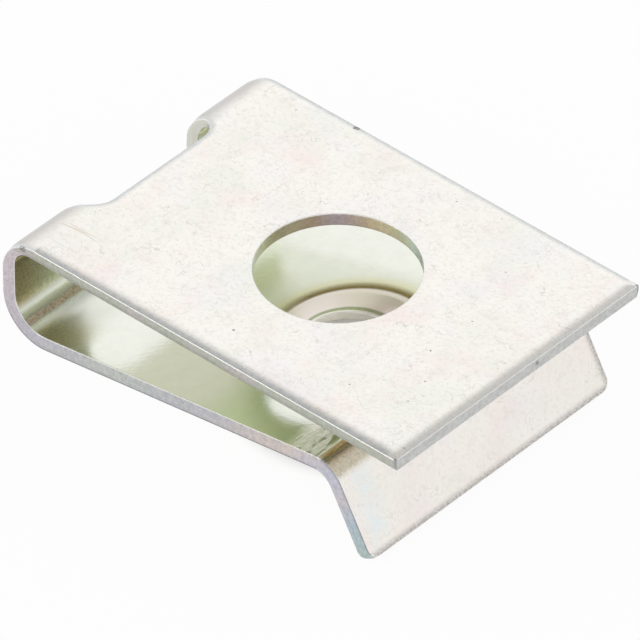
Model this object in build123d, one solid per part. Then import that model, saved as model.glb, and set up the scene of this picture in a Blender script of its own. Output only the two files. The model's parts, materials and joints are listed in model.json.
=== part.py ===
from build123d import *
import math
import os

# U clip speed nut: one spring steel blank, pierced, impressed and folded into a U.
# Millimetres. The origin is the centre of the clearance hole on the top face.
# X runs from the bend to the open mouth, Y across the clip, Z up from the surface it lies on.

# Sheet and blank
sheet_thickness = 0.65
clip_width = 14.83
roll_width = 0.4
roll_depth = 0.09
roll_radius = 1.4
tear_depth = 0.3
tear_inset = 0.1

# Top leg
hole_radius = 3.5
hole_roll = 0.1
front_reach = 9.74

# Bend: outer radii, and the smaller inner radius of the top bend, where the sheet is squeezed
rear_reach = 11.83
bend_height = 5.13
top_bend_radius = 1.85
top_inner_radius = 0.85
low_bend_radius = 2.1

# Slot that parts the bend into two straps
slot_width = 7.45
slot_corner_radius = 1.0
slot_past_bend = 0.12

# Lower leg and the flare that leads the panel in
lower_leg_angle = 8.0
flare_reach = 5.9
flare_angle = 61.0
flare_bend_radius = 0.85
flare_length = 4.13
flare_corner_radius = 0.6

# Thread impression for a 4.8 mm tapping screw, pressed out of the lower leg
thread_offset = 0.8
thread_root_radius = 1.79
thread_pitch = 1.6
impression_radius = 3.25
crease_length = 0.3
lip_thickness = 0.38
lip_rise = 0.12
slit_direction = 205.0
slit_angle = 8.0

# Working allowances
cut_margin = 1.0
lip_anchor = 0.25
lip_seat = 0.005
lip_trim = 0.1
lip_sections = 23
contact_tolerance = 0.001


def heading(angle):
    """Unit direction in the section plane."""
    return Vector(math.cos(math.radians(angle)), math.sin(math.radians(angle)))


def leftward(angle):
    """Unit direction to the left of a heading, which is the inside of the clip."""
    return heading(angle + 90)


# Headings of the sheet's four runs, from the mouth of the top leg round to the flare's tip
run_headings = [180.0, 270.0, lower_leg_angle, -flare_angle]


def low_bend_tangent():
    """Distance from the low bend's corner to its tangent points on the outer face."""
    return low_bend_radius * math.tan(math.radians(90 + lower_leg_angle) / 2)


def outer_corners():
    """Ends and sharp corners of the outer face, before its bends are rounded."""
    low_corner = Vector(-rear_reach, low_bend_radius - bend_height - low_bend_tangent())
    leg_length = (flare_reach + rear_reach) / math.cos(math.radians(lower_leg_angle))
    flare_corner = low_corner + heading(lower_leg_angle) * leg_length
    return [
        Vector(front_reach, 0),
        Vector(-rear_reach, 0),
        low_corner,
        flare_corner,
        flare_corner + heading(-flare_angle) * flare_length,
    ]


def section_line(inset):
    """The sheet's line in the section plane, at a depth below its outer face."""
    corners = outer_corners()
    sides = [leftward(angle) for angle in run_headings]
    points = [corners[0] + sides[0] * inset]
    for corner, before, after in zip(corners[1:-1], sides, sides[1:]):
        points.append(corner + (before + after) * (inset / (1 + before.dot(after))))
    points.append(corners[-1] + sides[-1] * inset)
    squeeze = (top_bend_radius - top_inner_radius) / sheet_thickness
    radii = [
        top_bend_radius - squeeze * inset,
        low_bend_radius - inset,
        flare_bend_radius + inset,
    ]
    return FilletPolyline(*points, radius=radii)


def folded_sheet():
    """The full-width folded strip, with square ends."""
    outer = section_line(0)
    inner = section_line(sheet_thickness)
    mouth = Line(outer @ 0, inner @ 0)
    tip = Line(outer @ 1, inner @ 1)
    section = make_face([*outer.edges(), *inner.edges(), mouth, tip])
    return extrude(Plane.XZ * section, clip_width / 2, both=True)


def lower_leg_plane(distance, depth):
    """Plane on the lower leg: a distance forward of its rear corner, a depth below its outer face."""
    start = outer_corners()[2]
    along = heading(lower_leg_angle)
    inward = leftward(lower_leg_angle)
    place = start + along * distance + inward * depth
    return Plane(
        origin=(place.X, 0, place.Y),
        x_dir=(along.X, 0, along.Y),
        z_dir=(inward.X, 0, inward.Y),
    )


def slot_end(end_position):
    """Block that clears the slot behind an end with rounded corners, to past the bend's mid-height."""
    length = rear_reach + front_reach
    outline = Pos(end_position - length / 2, 0) * Rectangle(length, slot_width)
    front_corners = outline.vertices().group_by(Axis.X)[-1]
    return extrude(fillet(front_corners, slot_corner_radius), (bend_height + cut_margin) / 2, both=True)


def top_slot_end():
    """Position of the slot's straight edge in the top leg."""
    return top_bend_radius + slot_past_bend - rear_reach


def cut_slot(sheet):
    """Part the bend into two straps: one cut through the top leg, one through the lower leg."""
    low_end = low_bend_tangent() + slot_past_bend
    return sheet - (slot_end(top_slot_end()) + lower_leg_plane(0, 0) * slot_end(low_end))


def round_flare_corners(sheet):
    """Round the two corners of the flare's tip in the plane of the sheet."""
    along = heading(-flare_angle)
    tip = outer_corners()[-1] + leftward(-flare_angle) * (sheet_thickness / 2)
    corners = [
        edge
        for edge in sheet.edges().filter_by(GeomType.LINE)
        if (edge.center() - Vector(tip.X, edge.center().Y, tip.Y)).length < contact_tolerance
        and abs(edge.tangent_at(0).dot(Vector(along.X, 0, along.Y))) < contact_tolerance
        and abs(edge.tangent_at(0).Y) < contact_tolerance
    ]
    return fillet(corners, flare_corner_radius)


def bevel_chain(sheet, place, inset, depth):
    """Bevel the smooth chain of blanked edges through a place: an inset along its face, a depth into the cut."""
    cross_edges = [
        edge
        for edge in sheet.edges().filter_by(GeomType.LINE)
        if abs(edge.tangent_at(0).Y) > 1 - contact_tolerance
    ]
    seed = min(cross_edges, key=lambda edge: (edge.center() - place).length)
    sides = [face for face in sheet.faces() if any(seed.is_same(edge) for edge in face.edges())]
    skin = max(sides, key=lambda face: face.area)
    return chamfer(seed, inset, depth, reference=skin)


def skin_borders(sheet):
    """Edges that bound the outer face, without the lines where its folds begin and end."""
    outer = Plane.XZ * section_line(0)
    folds = [point.center() for point in outer.vertices()]

    def flattened(point):
        return Vector(point.X, 0, point.Z)

    def is_border(edge):
        samples = [flattened(edge @ position) for position in (0, 0.5, 1)]
        if any(outer.distance_to(Vertex(*point)) > contact_tolerance for point in samples):
            return False
        crosses_sheet = abs(edge.tangent_at(0).Y) > 1 - contact_tolerance
        at_fold = any((samples[1] - fold).length < contact_tolerance for fold in folds)
        return not (crosses_sheet and at_fold)

    return [edge for edge in sheet.edges() if is_border(edge)]


def roll_outer_edges(sheet):
    """Draw the outer face over at every blanked edge: a shallow slope, rounded into the face, to a crisp corner."""
    outer = section_line(0)
    for corner in (Vector(top_slot_end(), 0), outer @ 1, outer @ 0):
        sheet = bevel_chain(sheet, Vector(corner.X, 0, corner.Y), roll_width, roll_depth)
    return fillet(skin_borders(sheet), roll_radius)


def taper_torn_edges(sheet):
    """Draw in the inner face's edges, where the blank tore free round the slot, the tip and the sides."""
    tip = section_line(sheet_thickness) @ 1
    for place in (Vector(top_slot_end(), 0, -sheet_thickness), Vector(tip.X, 0, tip.Y)):
        sheet = bevel_chain(sheet, place, tear_inset, tear_depth)
    return sheet


def pierce_hole(sheet):
    """Clearance hole for the screw, drawn over at the rim that the punch entered from inside the clip."""
    pierced = sheet - Pos(0, 0, -sheet_thickness / 2) * Cylinder(hole_radius, sheet_thickness + cut_margin)
    rim = [
        edge
        for edge in pierced.edges().filter_by(GeomType.CIRCLE)
        if (edge.arc_center - Vector(0, 0, -sheet_thickness)).length < contact_tolerance
    ]
    return fillet(rim, hole_roll)


def thread_plane():
    """Plane of the impression: on the lower leg's inner face, with the screw's axis as its normal."""
    distance = (rear_reach + thread_offset) / math.cos(math.radians(lower_leg_angle))
    return lower_leg_plane(distance, sheet_thickness)


def rim_height(angle):
    """Height of the lip's rim over the lower leg's inner face, one pitch over a full turn."""
    high_end = slit_direction + 360 - slit_angle / 2
    return lip_rise - thread_pitch * (high_end - angle) / 360


def lip_face(seat_radius, corner_height, rim):
    """One face of the lip in section: flat seat, crease and straight slope to just past the rim."""
    corner = Vector(impression_radius, corner_height)
    slope = (rim - corner).normalized()
    seat = Line(Vector(seat_radius, corner_height), corner + Vector(crease_length, 0))
    crease = Bezier(seat @ 1, corner, corner + slope * crease_length)
    return [seat, crease, Line(crease @ 1, rim + slope * lip_trim)]


def lip_section(angle):
    """Radial section of the lip, thinned from the full sheet at its seat to the coined rim."""
    seat_radius = impression_radius + crease_length + lip_anchor
    rim_top = Vector(thread_root_radius, rim_height(angle))
    rim_bottom = rim_top - Vector(0, lip_thickness)
    upper = lip_face(seat_radius, -lip_seat, rim_top)
    lower = lip_face(seat_radius, lip_seat - sheet_thickness, rim_bottom)
    seat_end = Line(upper[0] @ 0, lower[0] @ 0)
    rim_end = Line(upper[-1] @ 1, lower[-1] @ 1)
    radial = heading(angle)
    side = heading(angle - 90)
    plane = Plane(origin=(0, 0, 0), x_dir=(radial.X, radial.Y, 0), z_dir=(side.X, side.Y, 0))
    return plane * make_face([*upper, rim_end, *lower, seat_end])


def thread_lip():
    """The helical lip that the screw bites on: a dished ring that drops by one pitch round to its slit."""
    first = slit_direction + slit_angle / 2
    sweep_angle = 360 - slit_angle
    step = sweep_angle / (lip_sections - 1)
    ring = loft([lip_section(first + step * index) for index in range(lip_sections)])
    return ring - Cylinder(thread_root_radius, 2 * (thread_pitch + sheet_thickness + cut_margin))


def impress_thread(sheet):
    """Replace a disc of the lower leg by the helical lip."""
    opening_radius = impression_radius + crease_length
    opening = Pos(0, 0, -sheet_thickness / 2) * Cylinder(opening_radius, sheet_thickness + cut_margin)
    return sheet - thread_plane() * opening + thread_plane() * thread_lip()


def rest_pitch():
    """Slope of the line that touches the low bend and the flare's tip from below, in degrees."""
    bend_centre = Vector(low_bend_radius - rear_reach, low_bend_radius - bend_height)
    tip_corner = outer_corners()[-1] + leftward(-flare_angle) * roll_depth
    span = tip_corner - bend_centre
    lift = math.asin(low_bend_radius / span.length)
    return math.degrees(math.atan2(span.Y, span.X) + lift)


def make_clip():
    """The whole clip, turned about the hole's centre until it lies on its bend and its flare."""
    sheet = cut_slot(folded_sheet())
    sheet = round_flare_corners(sheet)
    sheet = roll_outer_edges(sheet)
    sheet = taper_torn_edges(sheet)
    sheet = pierce_hole(sheet)
    sheet = impress_thread(sheet)
    return Rot(0, rest_pitch(), 0) * sheet


if __name__ == "__main__":
    clip = make_clip()
    clip.label = "clip"
    os.makedirs("parts", exist_ok=True)
    export_step(clip, "parts/clip.step")
    print("solids", len(clip.solids()), "volume", round(clip.volume, 2), "valid", clip.is_valid)
    print("rest pitch", round(rest_pitch(), 2), "lowest", round(clip.bounding_box().min.Z, 3))
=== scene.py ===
# %% [markdown]
# # A U clip speed nut in plated spring steel
# The real clip is one strip of spring steel, pierced, pressed and folded into a U.
# Its shape is finished in the CAD model, folds and thread impression included.
# So this scene models nothing over it: it gives the steel its plated finish, sets the light, and
# places the camera as in the photograph. That keeps the mesh true, and puts the effort into the surface.

# %% Load the frame
import json
import math
import bpy
from mathutils import Matrix, Vector


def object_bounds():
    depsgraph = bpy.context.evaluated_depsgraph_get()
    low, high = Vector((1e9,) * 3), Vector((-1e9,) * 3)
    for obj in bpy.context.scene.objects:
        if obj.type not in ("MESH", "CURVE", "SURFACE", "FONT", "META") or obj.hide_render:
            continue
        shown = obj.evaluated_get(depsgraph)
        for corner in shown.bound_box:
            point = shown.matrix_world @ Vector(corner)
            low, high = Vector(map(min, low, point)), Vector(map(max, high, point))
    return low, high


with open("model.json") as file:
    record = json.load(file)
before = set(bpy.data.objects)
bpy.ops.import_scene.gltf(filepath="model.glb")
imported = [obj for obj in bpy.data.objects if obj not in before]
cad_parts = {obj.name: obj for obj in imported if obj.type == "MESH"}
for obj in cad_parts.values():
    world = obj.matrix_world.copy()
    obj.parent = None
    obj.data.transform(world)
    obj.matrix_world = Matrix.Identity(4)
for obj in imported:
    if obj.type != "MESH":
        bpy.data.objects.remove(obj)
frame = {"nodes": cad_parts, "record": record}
cad_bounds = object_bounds()
clip = frame["nodes"]["clip"]
print("clip faces", len(clip.data.polygons))

# %% [markdown]
# ## The leg frame
# The clip lies on its bend and its flare, so its top leg slopes a little. Every place on the part is easier to
# name along the leg itself. The record states the clearance hole's axis, which is square to the top leg, so the
# slope is read from there and nothing is measured twice.

# %% Slope of the top leg
mounts = {mount["name"]: mount for mount in frame["record"]["mounts"]}
hole_axis = Vector(mounts["clearance_hole"]["axis"])
hole_radius = mounts["clearance_hole"]["dims"]["r_mm"]
leg_pitch = math.atan2(hole_axis.x, hole_axis.z)
leg_to_world = Matrix.Rotation(leg_pitch, 4, "Y")
print("top leg slopes by", round(math.degrees(leg_pitch), 2), "degrees; hole radius", hole_radius, "mm")

# %% [markdown]
# ## Camera
# A small part photographed from far away with a long lens has almost parallel edges. The view was found by
# matching the hole's two rims and the leg's edges, in the leg frame, and is turned with the clip here.

# %% Camera at the photograph's angle
IMAGE_SIZE = 640
SENSOR_WIDTH = 36.0
azimuth = math.radians(42.0)
elevation = math.radians(39.74)
roll = math.radians(-0.07)
distance = 0.5556
pixels_per_metre = 24611.0
hole_pixel = (337.9, 268.1)

back = Vector((math.sin(azimuth) * math.cos(elevation), -math.cos(azimuth) * math.cos(elevation), math.sin(elevation)))
level_right = Vector((0, 0, 1)).cross(back).normalized()
level_up = back.cross(level_right)
right = level_right * math.cos(roll) + level_up * math.sin(roll)
up = level_up * math.cos(roll) - level_right * math.sin(roll)
half = IMAGE_SIZE / 2
place = (
    back * distance
    - right * ((hole_pixel[0] - half) / pixels_per_metre)
    + up * ((hole_pixel[1] - half) / pixels_per_metre)
)
camera_data = bpy.data.cameras.new("photo_camera")
camera_data.sensor_width = SENSOR_WIDTH
camera_data.lens = pixels_per_metre * distance / IMAGE_SIZE * SENSOR_WIDTH
camera_data.clip_start = 0.01
camera_data.clip_end = 20
camera = bpy.data.objects.new("photo_camera", camera_data)
axes = Matrix((right, up, back)).transposed().to_4x4()
camera.matrix_world = leg_to_world @ Matrix.Translation(place) @ axes
bpy.context.scene.collection.objects.link(camera)
bpy.context.scene.camera = camera
print("lens", round(camera_data.lens, 1), "mm, from", [round(value, 4) for value in camera.matrix_world.translation])

# %% [markdown]
# ## Colours and nodes
# Colours are written as sRGB hex, as a paint chart gives them, and turned to the linear values that the shader
# works in. One small function adds a node, sets it and wires it, and hands back the output that is asked for.

# %% Helpers for colour and nodes
def linear(code):
    """Linear RGBA of an sRGB hex colour."""
    channels = [int(code[start:start + 2], 16) / 255 for start in (1, 3, 5)]
    return [c / 12.92 if c <= 0.04045 else ((c + 0.055) / 1.055) ** 2.4 for c in channels] + [1.0]


def add(tree, kind, sockets=None, give=0, stops=None, **settings):
    """Add a node with its settings, socket values or links, and ramp stops, and give back one output."""
    node = tree.nodes.new(kind)
    for name, value in settings.items():
        setattr(node, name, value)
    for name, value in (sockets or {}).items():
        if isinstance(value, bpy.types.NodeSocket):
            tree.links.new(value, node.inputs[name])
        else:
            node.inputs[name].default_value = value
    if stops:
        elements = node.color_ramp.elements
        while len(elements) < len(stops):
            elements.new(1.0)
        for element, (position, code) in zip(elements, stops):
            element.position = position
            element.color = linear(code)
    return node if give is None else node.outputs[give]


print("white is", linear("#ffffff"), "and mid grey", [round(c, 3) for c in linear("#808080")])

# %% [markdown]
# ## Zinc plated spring steel
# The finish is bright zinc with a clear passivation over blanked spring steel: a silver-white, faintly warm metal,
# satin outside and brighter inside the fold, where nothing has rubbed it. It is a metal, so it is fully metallic
# with the default IOR, and its colour is what it reflects.
#
# A pressed part looks different on each kind of surface. The rolled skin is smooth, the edge that the die drew over
# is grainy and painted darker, partly as painted shade, and the cut face is greyer still. So the material first finds
# out where on the clip a point lies, in millimetres along the top leg, and picks the tone from that.

# %% Where a point lies, in leg millimetres
plated_steel = bpy.data.materials.new("zinc_plated_spring_steel")
plated_steel.use_nodes = True
steel = plated_steel.node_tree
steel.nodes.clear()
object_place = add(steel, "ShaderNodeTexCoord", give="Object")
object_normal = add(steel, "ShaderNodeTexCoord", give="Normal")
leg_metres = add(steel, "ShaderNodeVectorRotate", {"Vector": object_place, "Axis": (0, 1, 0), "Angle": -leg_pitch})
normal = add(steel, "ShaderNodeVectorRotate", {"Vector": object_normal, "Axis": (0, 1, 0), "Angle": -leg_pitch})
place_mm = add(steel, "ShaderNodeVectorMath", {0: leg_metres, "Scale": 1000.0}, operation="SCALE")
split = add(steel, "ShaderNodeSeparateXYZ", {0: place_mm}, give=None)
x, y, z = split.outputs
split_normal = add(steel, "ShaderNodeSeparateXYZ", {0: normal}, give=None)
normal_x, normal_y, normal_z = split_normal.outputs
across = add(steel, "ShaderNodeMath", {0: y}, operation="ABSOLUTE")
print("places are in mm along the top leg")

# %% [markdown]
# ### How near a blanked edge
# The blank was cut along four lines: its sides, the mouth, the flare's tip and the slot. The distance to the
# nearest one tells the skin from the drawn-over band along the edge, and from the cut face itself.
# The slot is a rectangle with rounded corners, so its distance is worked out from the corner's centre.

# %% Distance to the nearest blanked line
half_width = 7.415
mouth_reach = 9.74
flare_angle = math.radians(61.0)
tip_reach = 9.574
slot_half_width = 3.725
slot_corner = 1.0

to_side = add(steel, "ShaderNodeMath", {0: half_width, 1: across}, operation="SUBTRACT")
to_mouth = add(steel, "ShaderNodeMath", {0: mouth_reach, 1: x}, operation="SUBTRACT")
flare_heading = (math.cos(flare_angle), 0, -math.sin(flare_angle))
along_flare = add(steel, "ShaderNodeVectorMath", {0: place_mm, 1: flare_heading}, give="Value", operation="DOT_PRODUCT")
to_tip = add(steel, "ShaderNodeMath", {0: tip_reach, 1: along_flare}, operation="SUBTRACT")
slot_x = add(steel, "ShaderNodeMath", {0: x, 1: slot_corner + 9.86}, operation="ADD")
slot_y = add(steel, "ShaderNodeMath", {0: across, 1: slot_corner - slot_half_width}, operation="ADD")
past_x = add(steel, "ShaderNodeMath", {0: slot_x, 1: 0.0}, operation="MAXIMUM")
past_y = add(steel, "ShaderNodeMath", {0: slot_y, 1: 0.0}, operation="MAXIMUM")
past_corner = add(steel, "ShaderNodeCombineXYZ", {0: past_x, 1: past_y})
to_slot = add(steel, "ShaderNodeVectorMath", {0: past_corner}, give="Value", operation="LENGTH")
to_slot = add(steel, "ShaderNodeMath", {0: to_slot, 1: slot_corner}, operation="SUBTRACT")
nearest = add(steel, "ShaderNodeMath", {0: to_side, 1: to_mouth}, operation="MINIMUM")
nearest = add(steel, "ShaderNodeMath", {0: nearest, 1: to_tip}, operation="MINIMUM")
to_edge = add(steel, "ShaderNodeMath", {0: nearest, 1: to_slot}, operation="MINIMUM")
print("blank half width", half_width, "mm")

# %% [markdown]
# ### Outside, inside and the edges
# A face is outside when it looks away from the middle of the fold. The flare's face looks out of the mouth, so it
# counts as outside too, which suits it: it catches the same light and has the same satin skin as the top.
# A cut face lies on a blanked line, or looks sideways close to one. The wall of the clearance hole is told by its
# distance from the hole's axis, and the thread impression by the distance from the screw's axis, as recorded.

# %% Masks
def ramp(value, low, high, style="SMOOTHSTEP"):
    """0 at the low value and 1 at the high one, which may be the smaller of the two."""
    return add(steel, "ShaderNodeMapRange", {"Value": value, 1: low, 2: high}, interpolation_type=style)


def both(one, other):
    """The part that two masks share."""
    return add(steel, "ShaderNodeMath", {0: one, 1: other}, operation="MULTIPLY")


from_middle = add(steel, "ShaderNodeVectorMath", {0: place_mm, 1: (8.0, 0, 2.5)}, operation="ADD")
from_middle = add(steel, "ShaderNodeVectorMath", {0: from_middle, 1: (1, 0, 1)}, operation="MULTIPLY")
facing_out = add(steel, "ShaderNodeVectorMath", {0: from_middle, 1: normal}, give="Value", operation="DOT_PRODUCT")
outside = ramp(facing_out, -0.1, 0.1)
inside = ramp(facing_out, 0.1, -0.1)
looks_sideways = add(steel, "ShaderNodeMath", {0: normal_y}, operation="ABSOLUTE")
side_cut = both(ramp(looks_sideways, 0.45, 0.65), ramp(to_edge, 0.2, 0.18))
cut_face = add(steel, "ShaderNodeMath", {0: side_cut, 1: ramp(to_edge, 0.02, 0.01)}, operation="MAXIMUM")
above_flare = ramp(along_flare, 5.3, 4.9)
roll_band = both(both(ramp(to_edge, 0.5, 0.1), outside), above_flare)
flat_place = add(steel, "ShaderNodeVectorMath", {0: place_mm, 1: (1, 1, 0)}, operation="MULTIPLY")
from_hole = add(steel, "ShaderNodeVectorMath", {0: flat_place}, give="Value", operation="LENGTH")
top_leg = ramp(z, -0.68, -0.66)
hole_wall = both(both(ramp(from_hole, hole_radius + 0.13, hole_radius + 0.1), top_leg), ramp(normal_z, 0.7, 0.5))
thread = mounts["screw_thread"]
from_thread = add(steel, "ShaderNodeVectorMath", {0: object_place, 1: thread["pos_m"]}, operation="SUBTRACT")
from_thread = add(steel, "ShaderNodeVectorMath", {0: from_thread, 1: thread["axis"]}, operation="CROSS_PRODUCT")
thread_radius = add(steel, "ShaderNodeVectorMath", {0: from_thread, "Scale": 1000.0}, operation="SCALE")
thread_radius = add(steel, "ShaderNodeVectorMath", {0: thread_radius}, give="Value", operation="LENGTH")
low_leg = ramp(z, -1.2, -1.6)
ring = both(ramp(thread_radius, 3.35, 3.2), low_leg)
rim = both(both(ramp(thread_radius, 1.88, 1.95), ramp(thread_radius, 2.15, 2.05)), low_leg)
throat = both(ramp(thread_radius, 1.92, 1.86), low_leg)
thread_zone = both(ramp(thread_radius, 3.9, 3.7), low_leg)
inside = add(steel, "ShaderNodeMath", {0: inside, 1: thread_zone}, operation="MAXIMUM")
pinch = both(both(ramp(x, 3.4, 4.6), ramp(x, 5.5, 5.2)), both(inside, low_leg))
# Painted shade in the crease round the thread impression, less on its lit side; a pale band is painted round it.
crease = both(both(ramp(thread_radius, 3.12, 3.28), ramp(thread_radius, 3.75, 3.3)), low_leg)
lit_side = add(steel, "ShaderNodeMapRange", {"Value": y, 1: -1.5, 2: 1.0, 3: 0.4, 4: 1.0})
crease = both(crease, lit_side)
crease_glow = both(both(ramp(thread_radius, 3.2, 3.4), ramp(thread_radius, 4.3, 3.5)), low_leg)
print("masks: outside, inside, cut face, roll band, hole wall, crease")

# %% [markdown]
# ### The skin's soft colours
# Clear passivation is a film thin enough to tint what it covers: pink, straw, green and blue drift over it in
# clouds a few millimetres wide. One noise gives three independent fields, and each brings in one tint.
# The plating itself has a fine grain, about a fifth of a millimetre, which shows as a faint mottle.

# %% Skin colour
def noise(size_mm, detail=3.0, roughness=0.6, place=None, give="Fac"):
    """A noise whose largest forms are about a size in mm."""
    sockets = {"Vector": place or place_mm, "Scale": 1 / size_mm, "Detail": detail, "Roughness": roughness}
    return add(steel, "ShaderNodeTexNoise", sockets, give=give)


def tinted(amount, colour, tint):
    """A colour with a tint mixed in."""
    return add(steel, "ShaderNodeMix", {0: amount, 6: colour, 7: tint}, give=2, data_type="RGBA")


def shaded(colour, field, low, high, darkest):
    """A colour darkened where a field is low."""
    loss = add(steel, "ShaderNodeMapRange", {"Value": field, 1: low, 2: high, 3: 1.0 - darkest, 4: 0.0})
    return tinted(loss, colour, (0.0, 0.0, 0.0, 1.0))


cloud_width_mm = 2.6
grain_mm = 0.2
clouds = add(steel, "ShaderNodeSeparateColor", {0: noise(cloud_width_mm, give="Color")}, give=None)
specks = add(steel, "ShaderNodeSeparateColor", {0: noise(grain_mm, 2.0, give="Color")}, give=None)
skin = linear("#fdfaf4")
for part, tint, share in ((0, "#fbeeea", 0.9), (1, "#f5f6ec", 0.9), (2, "#f4f4f8", 0.45)):
    amount = add(steel, "ShaderNodeMapRange", {"Value": clouds.outputs[part], 1: 0.48, 2: 0.7, 4: share})
    skin = tinted(amount, skin, linear(tint))
for part, tint, share in ((0, "#e8ddd8", 0.6), (1, "#dfe2dd", 0.5)):
    amount = add(steel, "ShaderNodeMapRange", {"Value": specks.outputs[part], 1: 0.53, 2: 0.78, 4: share})
    skin = tinted(amount, skin, linear(tint))
mottle = noise(0.7, 5.0, 0.7)
skin = shaded(skin, mottle, 0.32, 0.46, 0.93)
print("cloud width", cloud_width_mm, "mm, grain", grain_mm, "mm")

# %% [markdown]
# ### Pits and hair scratches
# Plating leaves a few dark pits, a tenth of a millimetre or less. Points scattered in cells give them: only the
# cells that draw a high number get one, and a little noise in the place makes them ragged. Dried rinse water leaves
# faint curved hairlines in patches, which are the contour of a noise about a millimetre wide. Handling leaves hair
# scratches: the thin contour line of a stretched noise, kept to the one short bunch that the photograph has, on
# the near strap.

# %% Pits and scratches
wobble = add(steel, "ShaderNodeVectorMath", {0: noise(0.15, 2.0, give="Color"), "Scale": 0.14}, operation="SCALE")
ragged = add(steel, "ShaderNodeVectorMath", {0: place_mm, 1: wobble}, operation="ADD")
cells = add(steel, "ShaderNodeTexVoronoi", {"Vector": ragged, "Scale": 0.9, "Randomness": 1.0}, give=None)
cell_draw = add(steel, "ShaderNodeSeparateColor", {0: cells.outputs["Color"]})
pits = both(ramp(cell_draw, 0.5, 0.62), ramp(cells.outputs["Distance"], 0.065, 0.02))
skin = tinted(pits, skin, linear("#a3948f"))
swirl = add(steel, "ShaderNodeMath", {0: noise(0.9, 2.0), 1: 0.5}, operation="SUBTRACT")
swirl = add(steel, "ShaderNodeMath", {0: swirl}, operation="ABSOLUTE")
hairlines = both(ramp(swirl, 0.012, 0.002), ramp(noise(1.6, 2.0), 0.5, 0.62))
skin = tinted(hairlines, skin, linear("#e3e0da"))
stretched = add(steel, "ShaderNodeVectorMath", {0: place_mm, 1: (0.25, 3.0, 0.2)}, operation="MULTIPLY")
contour = add(steel, "ShaderNodeMath", {0: noise(1.0, 0.0, place=stretched), 1: 0.5}, operation="SUBTRACT")
contour = add(steel, "ShaderNodeMath", {0: contour}, operation="ABSOLUTE")
handled_x = both(ramp(x, -8.1, -8.9), ramp(x, -10.6, -9.9))
handled_y = both(ramp(y, -4.6, -5.3), ramp(y, -6.9, -6.2))
scratches = both(ramp(contour, 0.035, 0.006), both(handled_x, handled_y))
skin = tinted(scratches, skin, linear("#ddd0be"))
print("pits in cells of", round(1 / 0.9, 2), "mm")

# %% [markdown]
# ### Painted shade on the bend, and the flare
# Over the outside of the bend a painted shade makes the skin greyer than on the flats. The flare's face is tinted
# a little darker and warmer too.

# %% Bend and flare skin
drift = noise(1.8, 3.0, 0.5)
# Painted shade: the outside of the bend is painted greyer.
bend_painted_shade = both(ramp(x, -9.9, -11.2), outside)
skin = tinted(bend_painted_shade, skin, linear("#bebbb7"))
flare_face = both(ramp(along_flare, 5.2, 6.2), outside)
# The flare's face is tinted a little darker and warmer.
flare_darker_tint = add(steel, "ShaderNodeMapRange", {"Value": flare_face, 4: 0.4})
skin = tinted(flare_darker_tint, skin, linear("#dfd7d1"))
to_near_side = add(steel, "ShaderNodeMath", {0: half_width, 1: y}, operation="ADD")
blue_streak = both(both(ramp(to_near_side, 0.0, 1.0), ramp(to_near_side, 2.4, 1.0)), both(flare_face, ramp(drift, 0.45, 0.7)))
skin = tinted(blue_streak, skin, linear("#e2eced"))
print("bend and flare skin set")

# %% [markdown]
# ### Inside the fold
# The inner faces were never rubbed, so they mirror each other, and each bounce takes on more of the film's straw
# green. The colour only has to lean that way a little: the bounces make it olive. Shade and reflections are painted
# into the colour too, mostly grainy: painted shade on the back wall of the bend, browner on the near strap, and under
# the top leg; a painted reflected stripe and a painted light band along its lower round, and a painted dark reflection
# in its near corner; painted shade in the hollows of the waves beside the flare's fold; a painted reflection of the top
# leg in the flare's fold; and painted shade in the crease round the thread impression, less on its lit side, with a
# pale band painted round it. The direction that the surface looks in tells how far round the bend a point is.

# %% Inner skin
inner_skin = shaded(linear("#f2f4ea"), mottle, 0.35, 0.6, 0.96)
film_grain = noise(0.12, 3.0, 0.7)
in_bend = both(ramp(x, -9.9, -10.3), inside)
near_side = ramp(y, -5.0, -7.0)
back_wall = both(ramp(normal_x, 0.84, 0.95), in_bend)
# Painted shade on the back wall of the bend, browner on the near strap.
back_wall_painted_shade = tinted(near_side, linear("#dde2c0"), linear("#cec398"))
# Painted reflection: a warm stripe along the lower round of the bend, standing in for a reflected band.
low_stripe = both(both(ramp(normal_x, 0.42, 0.5), ramp(normal_x, 0.66, 0.6)), both(in_bend, ramp(z, -2.5, -3.0)))
squeezed = both(both(ramp(x, -7.2, -8.8), inside), ramp(z, -1.4, -2.0))
low_round = both(ramp(normal_x, 0.25, 0.4), ramp(normal_x, 0.88, 0.8))
# Painted reflection: a dark olive blob in the near corner of the squeezed bend.
low_corner = both(both(ramp(normal_x, 0.3, 0.15), ramp(y, -5.0, -6.8)), squeezed)
# Painted reflection of the top leg's underside: a brown stripe and a tan patch in the flare's fold.
fold_stripe = both(both(ramp(x, 5.42, 5.52), ramp(x, 5.84, 5.72)), low_leg)
fold_patch = both(both(ramp(x, 5.7, 5.82), ramp(x, 6.75, 6.4)), low_leg)
underside = both(both(inside, top_leg), both(ramp(x, 2.5, 0.5), ramp(y, 1.5, -0.5)))
# Painted shade under the top leg, inside the fold.
underside_painted_shade = tinted(ramp(x, -5.5, -2.5), linear("#d8d8c6"), linear("#cdd7b4"))
folds_place = add(steel, "ShaderNodeVectorMath", {0: place_mm, 1: (4.0, 0.9, 1.0)}, operation="MULTIPLY")
fold_waves = noise(1.0, 2.0, 0.6, place=folds_place)
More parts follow.
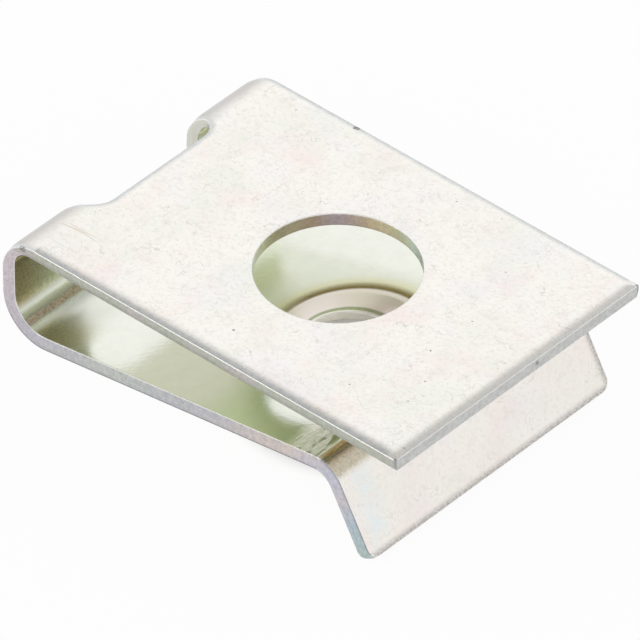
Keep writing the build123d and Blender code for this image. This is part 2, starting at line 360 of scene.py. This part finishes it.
# Painted shade in the hollows of the waves beside the flare's fold.
fold_hollows = both(ramp(fold_waves, 0.5, 0.4), ramp(x, 4.0, 4.8))
pinch_painted_shade = tinted(fold_hollows, linear("#fdfdf4"), linear("#a2ac7b"))
inner_skin = tinted(ring, inner_skin, linear("#fcf1f0"))
for mask, coat_colour, depth in (
    (back_wall, back_wall_painted_shade, 0.7),
    (low_corner, linear("#d8d3b0"), 0.8),
    # painted highlight: a light band on the lower round
    (both(low_round, in_bend), linear("#fafff2"), 1.0),
    (low_stripe, linear("#fae6cb"), 0.5),
    (underside, underside_painted_shade, 0.95),
    (pinch, pinch_painted_shade, 0.9),
    (crease_glow, linear("#e6e3c0"), 1.0),
    (crease, linear("#88784c"), 0.85),
    (throat, linear("#fffdf2"), 0.92),
    (rim, linear("#b4bb9c"), 0.85),
):
    inner_skin = tinted(mask, inner_skin, shaded(coat_colour, film_grain, 0.35, 0.6, depth))
skin = tinted(inside, skin, inner_skin)
skin = tinted(fold_patch, skin, shaded(linear("#ddd2c4"), film_grain, 0.35, 0.6, 0.75))
skin = tinted(fold_stripe, skin, shaded(linear("#cdb588"), film_grain, 0.35, 0.6, 0.55))
print("rim radius", round(thread["dims"]["r_mm"], 2), "mm")

# %% [markdown]
# ### Edges and the hole's wall
# Along the edge the drawn-over band is stretched and speckled, and painted a little darker grey, less at the mouth:
# a painted shade that deepens the grey line the ring's reflection draws there. The cut face below it changes slowly
# along its length, mauve at the bend, grey and pink along the leg, then blue and teal down the flare, as the film's
# thickness does. The punched wall of the hole is torn, and its colour runs round with the angle.
#
# A metal's sharp corners are never quite sharp. The bevel node rounds the normal there by less than a tenth of a
# millimetre, and where it differs from the true normal, the corner is near: there a thin light line is painted, a
# painted highlight that makes the edge read as steel. The corner under the lower leg is the other way round: a dark
# line is painted along it, painted shade where it meets the floor. Three small dark nicks are where the photograph
# shows them.

# %% Edge colours
along = add(steel, "ShaderNodeMath", {0: drift, 1: 2.0}, operation="MULTIPLY")
along = add(steel, "ShaderNodeMath", {0: along, 1: along_flare}, operation="ADD")
along = add(steel, "ShaderNodeMapRange", {"Value": along, 1: -4.0, 2: 10.0})
cut_colour = add(
    steel, "ShaderNodeValToRGB", {0: along},
    stops=[
        (0.1, "#d4cacf"), (0.3, "#c4c2ca"), (0.42, "#c6c9c4"), (0.54, "#c3c3c8"), (0.65, "#d8ccc6"),
        (0.75, "#cacbd8"), (0.82, "#d2ccd2"), (0.9, "#bcc8d2"), (1.0, "#b8cbc8"),
    ],
)
slot_cut = both(ramp(across, 4.3, 3.9), ramp(x, -8.5, -9.5))
leg_cut = linear("#bec1b5")
cut_colour = tinted(top_leg, cut_colour, tinted(ramp(drift, 0.5, 0.62), leg_cut, linear("#c8c3bf")))
edge_grain = noise(0.2, 4.0, 0.7)
mouth_cut = ramp(to_mouth, 0.06, 0.03)
cut_colour = tinted(mouth_cut, cut_colour, linear("#cfd0cd"))
cut_colour = shaded(cut_colour, edge_grain, 0.35, 0.6, 0.78)
cut_colour = tinted(slot_cut, cut_colour, linear("#d6d6cc"))
speckle = noise(0.1, 3.0, 0.7)
to_far_side = add(steel, "ShaderNodeMath", {0: half_width, 1: y}, operation="SUBTRACT")
to_flare_edge = add(steel, "ShaderNodeMath", {0: to_far_side, 1: to_tip}, operation="MINIMUM")
flare_band = both(ramp(to_flare_edge, 0.5, 0.08), both(outside, ramp(along_flare, 4.9, 5.8)))
around = add(steel, "ShaderNodeMath", {0: x, 1: y}, operation="ARCTAN2")
around = add(steel, "ShaderNodeMapRange", {"Value": around, 1: math.radians(-132), 2: math.radians(48)})
wall_colour = add(
    steel, "ShaderNodeValToRGB", {0: around},
    stops=[
        (0.0, "#e2f0e8"), (0.2, "#dfdfbe"), (0.3, "#efe8c8"), (0.4, "#e0cdb4"), (0.5, "#e7dae6"),
        (0.62, "#f8e6cc"), (0.73, "#faf6dc"), (0.85, "#e0f0ea"), (1.0, "#d8d8d4"),
    ],
)
wall_colour = shaded(wall_colour, noise(0.14, 3.0, 0.7), 0.38, 0.6, 0.82)
wander = add(steel, "ShaderNodeMapRange", {"Value": noise(0.4, 3.0, 0.6), 1: 0.3, 2: 0.7, 3: -0.07, 4: 0.07})
worn_edge = add(steel, "ShaderNodeMath", {0: to_edge, 1: wander}, operation="ADD")
drawn_line = both(ramp(worn_edge, 0.38, 0.06), roll_band)
# The drawn-over band is speckled, and painted darker grey as a painted shade on the reflected line, less at the mouth.
drawn_band_and_shade_grey = tinted(ramp(to_mouth, 0.6, 0.4), linear("#dadddd"), linear("#f6f4f0"))
base = tinted(drawn_line, skin, shaded(drawn_band_and_shade_grey, speckle, 0.35, 0.6, 0.85))
base = tinted(flare_band, base, shaded(linear("#cdc8c3"), speckle, 0.46, 0.58, 0.6))
base = tinted(cut_face, base, cut_colour)
base = tinted(hole_wall, base, wall_colour)
soft_corner = add(steel, "ShaderNodeBevel", {"Radius": 0.00008}, samples=6)
true_normal = add(steel, "ShaderNodeNewGeometry", give="Normal")
turning = add(steel, "ShaderNodeVectorMath", {0: soft_corner, 1: true_normal}, give="Value", operation="DOT_PRODUCT")
# Painted highlight: a thin light line along the sharp corners.
painted_highlight_corner = ramp(turning, 0.995, 0.94)
base = tinted(painted_highlight_corner, base, linear("#f6f5f0"))
# Painted shade: a dark line along the corner under the lower leg, where it meets the floor.
lower_corner_bevel = add(steel, "ShaderNodeBevel", {"Radius": 0.00018}, samples=6)
turned_out = add(steel, "ShaderNodeVectorMath", {0: from_middle, 1: lower_corner_bevel}, give="Value", operation="DOT_PRODUCT")
lower_turning = add(steel, "ShaderNodeVectorMath", {0: lower_corner_bevel, 1: true_normal}, give="Value", operation="DOT_PRODUCT")
below = both(ramp(z, -1.5, -2.5), ramp(along_flare, -3.0, -1.5))
painted_contact_shade = both(both(ramp(turned_out, 0.1, 0.5), ramp(lower_turning, 0.998, 0.95)), both(below, cut_face))
base = tinted(painted_contact_shade, base, shaded(linear("#8b8a8e"), speckle, 0.35, 0.6, 0.8))
upright = both(ramp(to_side, 0.14, 0.06), ramp(to_mouth, 0.14, 0.06))
base = tinted(upright, base, linear("#a3a6a6"))
for nick_place, reach in (((-10.55, -7.42, -0.22), 0.24), ((9.74, 1.25, -0.22), 0.15), ((-5.45, 7.35, -0.05), 0.2)):
    away = add(steel, "ShaderNodeVectorMath", {0: ragged, 1: nick_place}, give="Value", operation="DISTANCE")
    nick = both(ramp(away, reach, reach * 0.6), ramp(speckle, 0.4, 0.5))
    base = tinted(nick, base, linear("#8d8a86"))
print("edge colours set")

# %% [markdown]
# ### Bump, gloss and the shader
# The satin skin scatters light over a wide cone, the unrubbed inside less, the floor under the hole and the squeezed
# bend more, and the torn faces most. Inside, the strip still has the fine marks of its rolling and of the panel edges
# pushed into it, long one way and narrow the other. Next to the flare's fold the sheet is puckered into fine waves
# along the fold. In the stripe along the lower round, where a reflected band is painted, over half of it isn't bare
# metal, so it scatters light itself.

# %% The shader
marks_turned = add(steel, "ShaderNodeVectorRotate", {"Vector": place_mm, "Axis": (0, 0, 1), "Angle": math.radians(-42)})
marks_place = add(steel, "ShaderNodeVectorMath", {0: marks_turned, 1: (0.5, 6.0, 1.0)}, operation="MULTIPLY")
marks = both(noise(1.0, 3.0, 0.6, place=marks_place), inside)
marks = add(steel, "ShaderNodeMath", {0: marks, 1: 0.5}, operation="MULTIPLY")
folds = add(steel, "ShaderNodeMath", {0: both(fold_waves, pinch), 1: 8.0}, operation="MULTIPLY")
height = add(steel, "ShaderNodeMath", {0: specks.outputs[0], 1: marks}, operation="ADD")
height = add(steel, "ShaderNodeMath", {0: height, 1: folds}, operation="ADD")
relief = add(steel, "ShaderNodeMapRange", {"Value": roll_band, 3: 0.12, 4: 0.02})
relief = add(steel, "ShaderNodeMix", {0: pinch, 2: relief, 3: 0.8}, data_type="FLOAT")
roughness = add(steel, "ShaderNodeMapRange", {"Value": outside, 3: 0.15, 4: 0.22})
under_hole = both(ramp(from_hole, 5.0, 3.5), low_leg)
roughness = add(steel, "ShaderNodeMix", {0: under_hole, 2: roughness, 3: 0.25}, data_type="FLOAT")
squeezed_gloss = add(steel, "ShaderNodeMix", {0: low_round, 2: 0.38, 3: 0.26}, data_type="FLOAT")
roughness = add(steel, "ShaderNodeMix", {0: squeezed, 2: roughness, 3: squeezed_gloss}, data_type="FLOAT")
roughness = add(steel, "ShaderNodeMix", {0: pinch, 2: roughness, 3: 0.37}, data_type="FLOAT")
rough_edges = add(steel, "ShaderNodeMath", {0: cut_face, 1: hole_wall}, operation="MAXIMUM")
roughness = add(steel, "ShaderNodeMix", {0: rough_edges, 2: roughness, 3: 0.42}, data_type="FLOAT")
roughness = add(steel, "ShaderNodeMix", {0: painted_highlight_corner, 2: roughness, 3: 0.25}, data_type="FLOAT")
bare_metal = add(steel, "ShaderNodeMapRange", {"Value": low_stripe, 3: 1.0, 4: 0.42})
bump = add(steel, "ShaderNodeBump", {"Height": height, "Strength": relief, "Distance": 0.00002, "Normal": soft_corner})
shader = add(
    steel, "ShaderNodeBsdfPrincipled",
    {"Base Color": base, "Metallic": bare_metal, "Roughness": roughness, "Normal": bump},
)
add(steel, "ShaderNodeOutputMaterial", {"Surface": shader}, give=None)
for slot in clip.material_slots:
    slot.material = plated_steel
print("nodes", len(steel.nodes))

# %% [markdown]
# ## Floor and light
# The photograph is a plain product shot on white. A pale floor fills the whole view, because the camera looks
# down on it. It glows a little for the camera and for reflections, so that it reads as the white backdrop it is,
# and still keeps the clip's shadow. Right under the thread impression the paper lies in the clip's own shade, and
# is seen only through the screw's hole, so there the glow fades out and the shade is left to the light.

# %% Floor
floor_height = cad_bounds[0][2]
bpy.ops.mesh.primitive_plane_add(size=3.0, location=(0, 0, floor_height))
floor = bpy.context.object
floor.name = "floor"
paper = bpy.data.materials.new("white_paper")
paper.use_nodes = True
paper_tree = paper.node_tree
paper_tree.nodes.clear()
matte = add(paper_tree, "ShaderNodeBsdfDiffuse", {"Color": linear("#fcfcfc")})
glow = add(paper_tree, "ShaderNodeEmission", {"Color": linear("#ffffff"), "Strength": 1.0})
light_path = add(paper_tree, "ShaderNodeLightPath", give=None)
seen = add(
    paper_tree, "ShaderNodeMath",
    {0: light_path.outputs["Is Camera Ray"], 1: light_path.outputs["Is Glossy Ray"]},
    operation="MAXIMUM",
)
seen = add(paper_tree, "ShaderNodeMath", {0: seen, 1: light_path.outputs["Is Transmission Ray"]}, operation="MAXIMUM")
floor_place = add(paper_tree, "ShaderNodeTexCoord", give="Object")
thread_spot = (thread["pos_m"][0], thread["pos_m"][1], 0)
from_spot = add(paper_tree, "ShaderNodeVectorMath", {0: floor_place, 1: thread_spot}, give="Value", operation="DISTANCE")
lit_share = add(
    paper_tree, "ShaderNodeMapRange", {"Value": from_spot, 1: 0.004, 2: 0.0058, 4: 0.94},
    interpolation_type="SMOOTHSTEP",
)
share = add(paper_tree, "ShaderNodeMath", {0: seen, 1: lit_share}, operation="MULTIPLY")
surface = add(paper_tree, "ShaderNodeMixShader", {0: share, 1: matte, 2: glow})
add(paper_tree, "ShaderNodeOutputMaterial", {"Surface": surface}, give=None)
floor.data.materials.append(paper)
print("floor at", round(floor_height * 1000, 3), "mm")

# %% [markdown]
# ## Studio
# A metal shows its surroundings more than its light. The room here is a tent with white walls, a grey ring above
# them and a white panel overhead. The flat skin mirrors the wall, and the drawn-over edges, tipped up a little,
# mirror the ring: that is the grey line that draws the clip's outline.

# %% World and lamp
world = bpy.data.worlds.new("studio")
world.use_nodes = True
room = world.node_tree
room.nodes.clear()
direction = add(room, "ShaderNodeTexCoord", give="Generated")
upward = add(room, "ShaderNodeSeparateXYZ", {0: direction}, give=2)
ceiling = add(room, "ShaderNodeMapRange", {"Value": upward, 1: 0.71, 2: 0.84}, interpolation_type="SMOOTHSTEP")
overhead = add(room, "ShaderNodeMapRange", {"Value": upward, 1: 0.88, 2: 0.96}, interpolation_type="SMOOTHSTEP")
tent = add(room, "ShaderNodeMix", {0: ceiling, 6: linear("#ffffff"), 7: linear("#8e8e8c")}, give=2, data_type="RGBA")
tent = add(room, "ShaderNodeMix", {0: overhead, 6: tent, 7: linear("#ececea")}, give=2, data_type="RGBA")
background = add(room, "ShaderNodeBackground", {"Color": tent, "Strength": 1.0})
add(room, "ShaderNodeOutputWorld", {"Surface": background}, give=None)
bpy.context.scene.world = world


def soft_lamp(name, position, size, power):
    """A square lamp that faces the clip."""
    data = bpy.data.lights.new(name, "AREA")
    data.size = size
    data.energy = power
    lamp = bpy.data.objects.new(name, data)
    lamp.location = position
    lamp.rotation_euler = (-Vector(position)).to_track_quat("-Z", "Y").to_euler()
    bpy.context.scene.collection.objects.link(lamp)
    return lamp


soft_lamp("softbox_front", (-0.36, -0.45, 0.4), 0.3, 0.4)
bpy.context.scene.view_settings.view_transform = "Standard"
print("world and lamp set")
